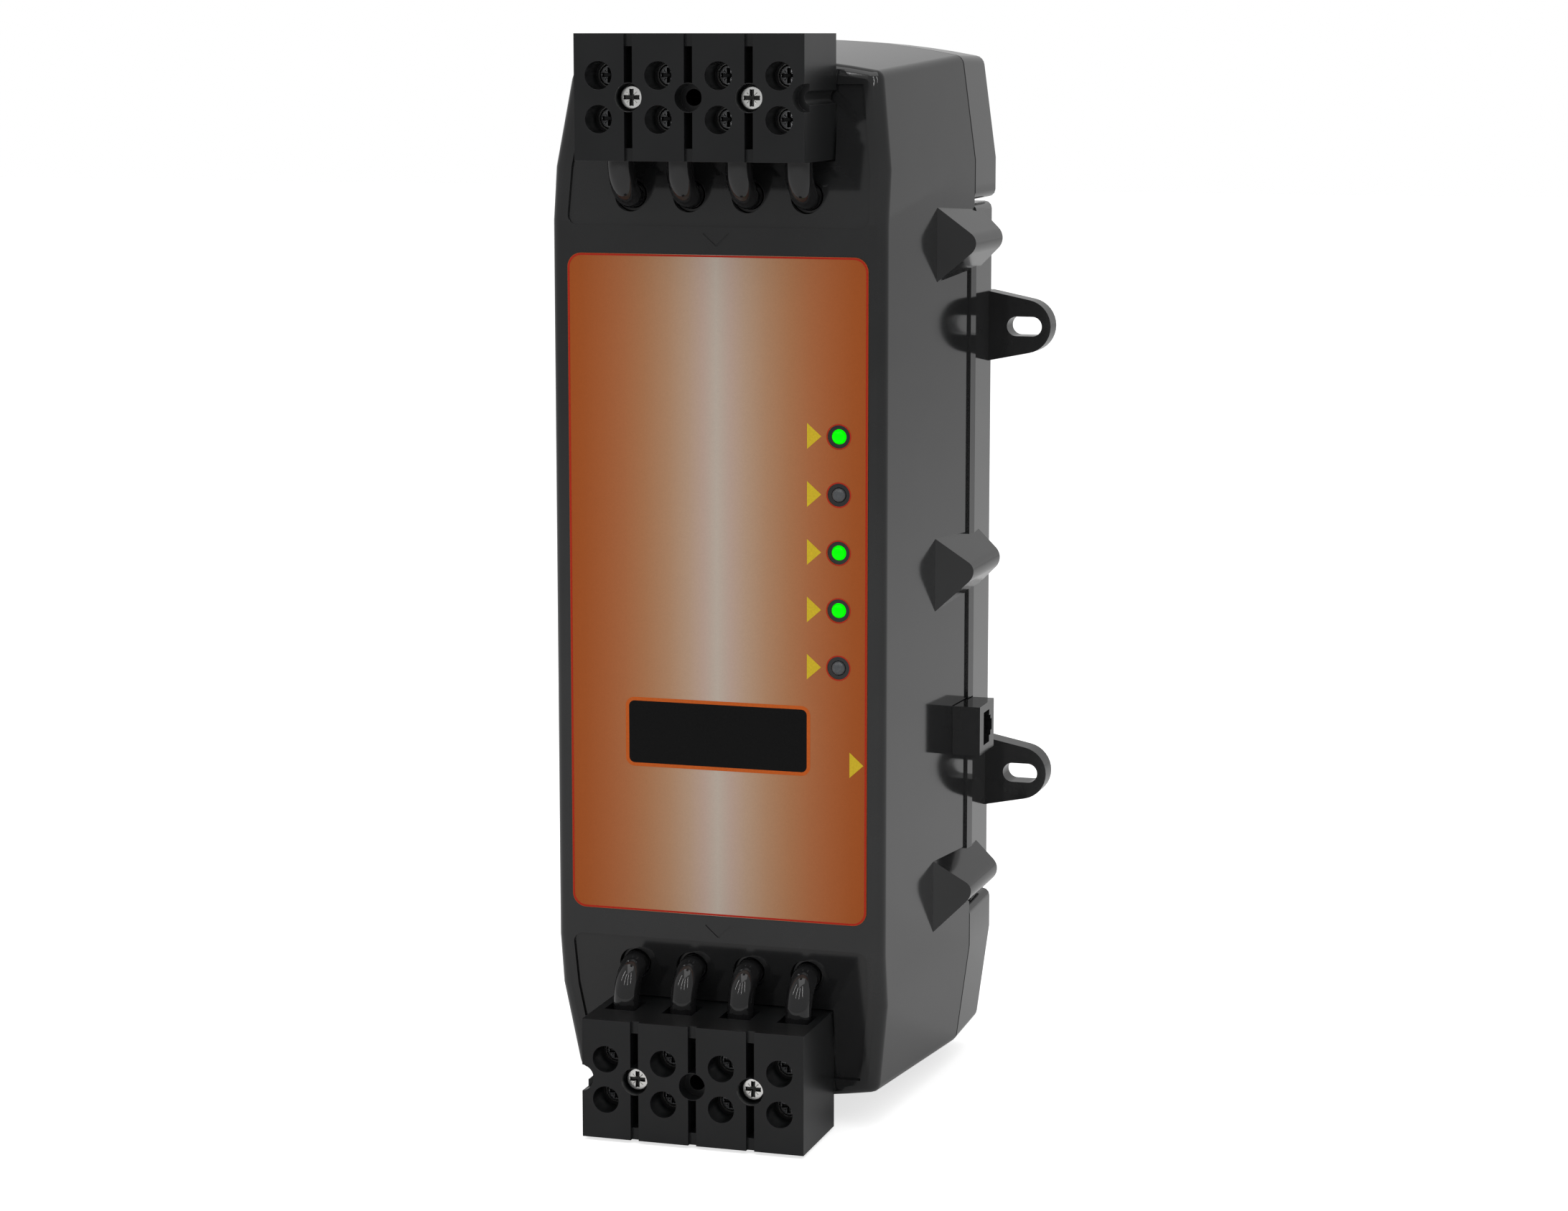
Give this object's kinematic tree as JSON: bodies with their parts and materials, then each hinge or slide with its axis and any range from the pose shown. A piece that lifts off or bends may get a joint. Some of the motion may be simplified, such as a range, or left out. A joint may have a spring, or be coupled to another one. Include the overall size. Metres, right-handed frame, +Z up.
{
  "type": "hard-wired surge protector",
  "caption": "Wall-mounted surge protector box for a caravan supply, with screw terminal blocks at both ends, slotted ears, status lamps and a remote socket.",
  "frame": {"origin": "middle of the four ear slots, on the wall that the box is screwed to", "axes": "+Z up along the box, +X to the right seen from the front, -Y towards the viewer"},
  "size_m": [0.1426, 0.1315, 0.3072],
  "materials": {
    "case_plastic": "semi-gloss moulded",
    "block_plastic": "satin moulded",
    "label_film": "satin printed film",
    "lens_lit": "glossy, lit",
    "lens_unlit": "glossy, clear",
    "circuit_board": "satin",
    "terminal_brass": "plain",
    "terminal_nickel": "nickel plated",
    "zinc_screw": "zinc plated",
    "dark_screw": "blackened",
    "saddle_steel": "zinc plated",
    "wire_sheath": "glossy extruded",
    "bushing_plastic": "satin",
    "relay_case": "semi-gloss",
    "varistor_coat": "dipped epoxy",
    "transformer_core": "varnished"
  },
  "bodies": {
    "housing": {"front_housing": "case_plastic", "rear_cover": "case_plastic", "line_end_cover": "case_plastic", "load_end_cover": "case_plastic", "cover_screws": "zinc_screw", "label_overlay": "label_film", "status_lamp_1": "lens_lit", "status_lamp_2": "lens_unlit", "status_lamp_3": "lens_lit", "status_lamp_4": "lens_lit", "status_lamp_5": "lens_unlit", "lamp_board": "circuit_board", "line_block": "block_plastic", "load_block": "block_plastic", "line_sleeves": "terminal_nickel", "load_sleeves": "terminal_nickel", "block_screws": "zinc_screw", "line_wires": "wire_sheath", "load_wires": "wire_sheath", "wire_bushings": "bushing_plastic", "jack_shell": "case_plastic", "jack_contacts": "terminal_brass", "main_board": "circuit_board", "board_lugs": "terminal_brass", "relay_a": "relay_case", "relay_b": "relay_case", "varistors": "varistor_coat", "transformer": "transformer_core"},
    "line_outer_1_saddle": {"line_outer_1_saddle": "saddle_steel"},
    "line_outer_1_screw": {"line_outer_1_screw": "dark_screw"},
    "line_outer_2_saddle": {"line_outer_2_saddle": "saddle_steel"},
    "line_outer_2_screw": {"line_outer_2_screw": "dark_screw"},
    "line_outer_3_saddle": {"line_outer_3_saddle": "saddle_steel"},
    "line_outer_3_screw": {"line_outer_3_screw": "dark_screw"},
    "line_outer_4_saddle": {"line_outer_4_saddle": "saddle_steel"},
    "line_outer_4_screw": {"line_outer_4_screw": "dark_screw"},
    "line_inner_1_saddle": {"line_inner_1_saddle": "saddle_steel"},
    "line_inner_1_screw": {"line_inner_1_screw": "dark_screw"},
    "line_inner_2_saddle": {"line_inner_2_saddle": "saddle_steel"},
    "line_inner_2_screw": {"line_inner_2_screw": "dark_screw"},
    "line_inner_3_saddle": {"line_inner_3_saddle": "saddle_steel"},
    "line_inner_3_screw": {"line_inner_3_screw": "dark_screw"},
    "line_inner_4_saddle": {"line_inner_4_saddle": "saddle_steel"},
    "line_inner_4_screw": {"line_inner_4_screw": "dark_screw"},
    "load_outer_1_saddle": {"load_outer_1_saddle": "saddle_steel"},
    "load_outer_1_screw": {"load_outer_1_screw": "dark_screw"},
    "load_outer_2_saddle": {"load_outer_2_saddle": "saddle_steel"},
    "load_outer_2_screw": {"load_outer_2_screw": "dark_screw"},
    "load_outer_3_saddle": {"load_outer_3_saddle": "saddle_steel"},
    "load_outer_3_screw": {"load_outer_3_screw": "dark_screw"},
    "load_outer_4_saddle": {"load_outer_4_saddle": "saddle_steel"},
    "load_outer_4_screw": {"load_outer_4_screw": "dark_screw"},
    "load_inner_1_saddle": {"load_inner_1_saddle": "saddle_steel"},
    "load_inner_1_screw": {"load_inner_1_screw": "dark_screw"},
    "load_inner_2_saddle": {"load_inner_2_saddle": "saddle_steel"},
    "load_inner_2_screw": {"load_inner_2_screw": "dark_screw"},
    "load_inner_3_saddle": {"load_inner_3_saddle": "saddle_steel"},
    "load_inner_3_screw": {"load_inner_3_screw": "dark_screw"},
    "load_inner_4_saddle": {"load_inner_4_saddle": "saddle_steel"},
    "load_inner_4_screw": {"load_inner_4_screw": "dark_screw"}
  },
  "joints": [
    {"name": "line_outer_1_lift", "type": "slide", "parent": "housing", "child": "line_outer_1_saddle", "axis": [0, -1, 0], "range_m": [0, 0.00217]},
    {"name": "line_outer_1_turn", "type": "hinge", "parent": "line_outer_1_saddle", "child": "line_outer_1_screw", "pos_m": [-0.0255, -0.1225, 0.1424], "axis": [0, -1, 0], "range_deg": [0, 780]},
    {"name": "line_outer_2_lift", "type": "slide", "parent": "housing", "child": "line_outer_2_saddle", "axis": [0, -1, 0], "range_m": [0, 0.00217]},
    {"name": "line_outer_2_turn", "type": "hinge", "parent": "line_outer_2_saddle", "child": "line_outer_2_screw", "pos_m": [-0.0085, -0.1225, 0.1424], "axis": [0, -1, 0], "range_deg": [0, 780]},
    {"name": "line_outer_3_lift", "type": "slide", "parent": "housing", "child": "line_outer_3_saddle", "axis": [0, -1, 0], "range_m": [0, 0.00217]},
    {"name": "line_outer_3_turn", "type": "hinge", "parent": "line_outer_3_saddle", "child": "line_outer_3_screw", "pos_m": [0.0085, -0.1225, 0.1424], "axis": [0, -1, 0], "range_deg": [0, 780]},
    {"name": "line_outer_4_lift", "type": "slide", "parent": "housing", "child": "line_outer_4_saddle", "axis": [0, -1, 0], "range_m": [0, 0.00217]},
    {"name": "line_outer_4_turn", "type": "hinge", "parent": "line_outer_4_saddle", "child": "line_outer_4_screw", "pos_m": [0.0255, -0.1225, 0.1424], "axis": [0, -1, 0], "range_deg": [0, 780]},
    {"name": "line_inner_1_lift", "type": "slide", "parent": "housing", "child": "line_inner_1_saddle", "axis": [0, -1, 0], "range_m": [0, 0.00217]},
    {"name": "line_inner_1_turn", "type": "hinge", "parent": "line_inner_1_saddle", "child": "line_inner_1_screw", "pos_m": [-0.0255, -0.1225, 0.1307], "axis": [0, -1, 0], "range_deg": [0, 780]},
    {"name": "line_inner_2_lift", "type": "slide", "parent": "housing", "child": "line_inner_2_saddle", "axis": [0, -1, 0], "range_m": [0, 0.00217]},
    {"name": "line_inner_2_turn", "type": "hinge", "parent": "line_inner_2_saddle", "child": "line_inner_2_screw", "pos_m": [-0.0085, -0.1225, 0.1307], "axis": [0, -1, 0], "range_deg": [0, 780]},
    {"name": "line_inner_3_lift", "type": "slide", "parent": "housing", "child": "line_inner_3_saddle", "axis": [0, -1, 0], "range_m": [0, 0.00217]},
    {"name": "line_inner_3_turn", "type": "hinge", "parent": "line_inner_3_saddle", "child": "line_inner_3_screw", "pos_m": [0.0085, -0.1225, 0.1307], "axis": [0, -1, 0], "range_deg": [0, 780]},
    {"name": "line_inner_4_lift", "type": "slide", "parent": "housing", "child": "line_inner_4_saddle", "axis": [0, -1, 0], "range_m": [0, 0.00217]},
    {"name": "line_inner_4_turn", "type": "hinge", "parent": "line_inner_4_saddle", "child": "line_inner_4_screw", "pos_m": [0.0255, -0.1225, 0.1307], "axis": [0, -1, 0], "range_deg": [0, 780]},
    {"name": "load_outer_1_lift", "type": "slide", "parent": "housing", "child": "load_outer_1_saddle", "axis": [0, -1, 0], "range_m": [0, 0.00217]},
    {"name": "load_outer_1_turn", "type": "hinge", "parent": "load_outer_1_saddle", "child": "load_outer_1_screw", "pos_m": [-0.0255, -0.1225, -0.1424], "axis": [0, -1, 0], "range_deg": [0, 780]},
    {"name": "load_outer_2_lift", "type": "slide", "parent": "housing", "child": "load_outer_2_saddle", "axis": [0, -1, 0], "range_m": [0, 0.00217]},
    {"name": "load_outer_2_turn", "type": "hinge", "parent": "load_outer_2_saddle", "child": "load_outer_2_screw", "pos_m": [-0.0085, -0.1225, -0.1424], "axis": [0, -1, 0], "range_deg": [0, 780]},
    {"name": "load_outer_3_lift", "type": "slide", "parent": "housing", "child": "load_outer_3_saddle", "axis": [0, -1, 0], "range_m": [0, 0.00217]},
    {"name": "load_outer_3_turn", "type": "hinge", "parent": "load_outer_3_saddle", "child": "load_outer_3_screw", "pos_m": [0.0085, -0.1225, -0.1424], "axis": [0, -1, 0], "range_deg": [0, 780]},
    {"name": "load_outer_4_lift", "type": "slide", "parent": "housing", "child": "load_outer_4_saddle", "axis": [0, -1, 0], "range_m": [0, 0.00217]},
    {"name": "load_outer_4_turn", "type": "hinge", "parent": "load_outer_4_saddle", "child": "load_outer_4_screw", "pos_m": [0.0255, -0.1225, -0.1424], "axis": [0, -1, 0], "range_deg": [0, 780]},
    {"name": "load_inner_1_lift", "type": "slide", "parent": "housing", "child": "load_inner_1_saddle", "axis": [0, -1, 0], "range_m": [0, 0.00217]},
    {"name": "load_inner_1_turn", "type": "hinge", "parent": "load_inner_1_saddle", "child": "load_inner_1_screw", "pos_m": [-0.0255, -0.1225, -0.1307], "axis": [0, -1, 0], "range_deg": [0, 780]},
    {"name": "load_inner_2_lift", "type": "slide", "parent": "housing", "child": "load_inner_2_saddle", "axis": [0, -1, 0], "range_m": [0, 0.00217]},
    {"name": "load_inner_2_turn", "type": "hinge", "parent": "load_inner_2_saddle", "child": "load_inner_2_screw", "pos_m": [-0.0085, -0.1225, -0.1307], "axis": [0, -1, 0], "range_deg": [0, 780]},
    {"name": "load_inner_3_lift", "type": "slide", "parent": "housing", "child": "load_inner_3_saddle", "axis": [0, -1, 0], "range_m": [0, 0.00217]},
    {"name": "load_inner_3_turn", "type": "hinge", "parent": "load_inner_3_saddle", "child": "load_inner_3_screw", "pos_m": [0.0085, -0.1225, -0.1307], "axis": [0, -1, 0], "range_deg": [0, 780]},
    {"name": "load_inner_4_lift", "type": "slide", "parent": "housing", "child": "load_inner_4_saddle", "axis": [0, -1, 0], "range_m": [0, 0.00217]},
    {"name": "load_inner_4_turn", "type": "hinge", "parent": "load_inner_4_saddle", "child": "load_inner_4_screw", "pos_m": [0.0255, -0.1225, -0.1307], "axis": [0, -1, 0], "range_deg": [0, 780]}
  ],
  "couplings": [
    {"joint": "line_outer_1_turn", "follows": "line_outer_1_lift", "rad_per_m": 6283.2},
    {"joint": "line_outer_2_turn", "follows": "line_outer_2_lift", "rad_per_m": 6283.2},
    {"joint": "line_outer_3_turn", "follows": "line_outer_3_lift", "rad_per_m": 6283.2},
    {"joint": "line_outer_4_turn", "follows": "line_outer_4_lift", "rad_per_m": 6283.2},
    {"joint": "line_inner_1_turn", "follows": "line_inner_1_lift", "rad_per_m": 6283.2},
    {"joint": "line_inner_2_turn", "follows": "line_inner_2_lift", "rad_per_m": 6283.2},
    {"joint": "line_inner_3_turn", "follows": "line_inner_3_lift", "rad_per_m": 6283.2},
    {"joint": "line_inner_4_turn", "follows": "line_inner_4_lift", "rad_per_m": 6283.2},
    {"joint": "load_outer_1_turn", "follows": "load_outer_1_lift", "rad_per_m": 6283.2},
    {"joint": "load_outer_2_turn", "follows": "load_outer_2_lift", "rad_per_m": 6283.2},
    {"joint": "load_outer_3_turn", "follows": "load_outer_3_lift", "rad_per_m": 6283.2},
    {"joint": "load_outer_4_turn", "follows": "load_outer_4_lift", "rad_per_m": 6283.2},
    {"joint": "load_inner_1_turn", "follows": "load_inner_1_lift", "rad_per_m": 6283.2},
    {"joint": "load_inner_2_turn", "follows": "load_inner_2_lift", "rad_per_m": 6283.2},
    {"joint": "load_inner_3_turn", "follows": "load_inner_3_lift", "rad_per_m": 6283.2},
    {"joint": "load_inner_4_turn", "follows": "load_inner_4_lift", "rad_per_m": 6283.2}
  ]
}
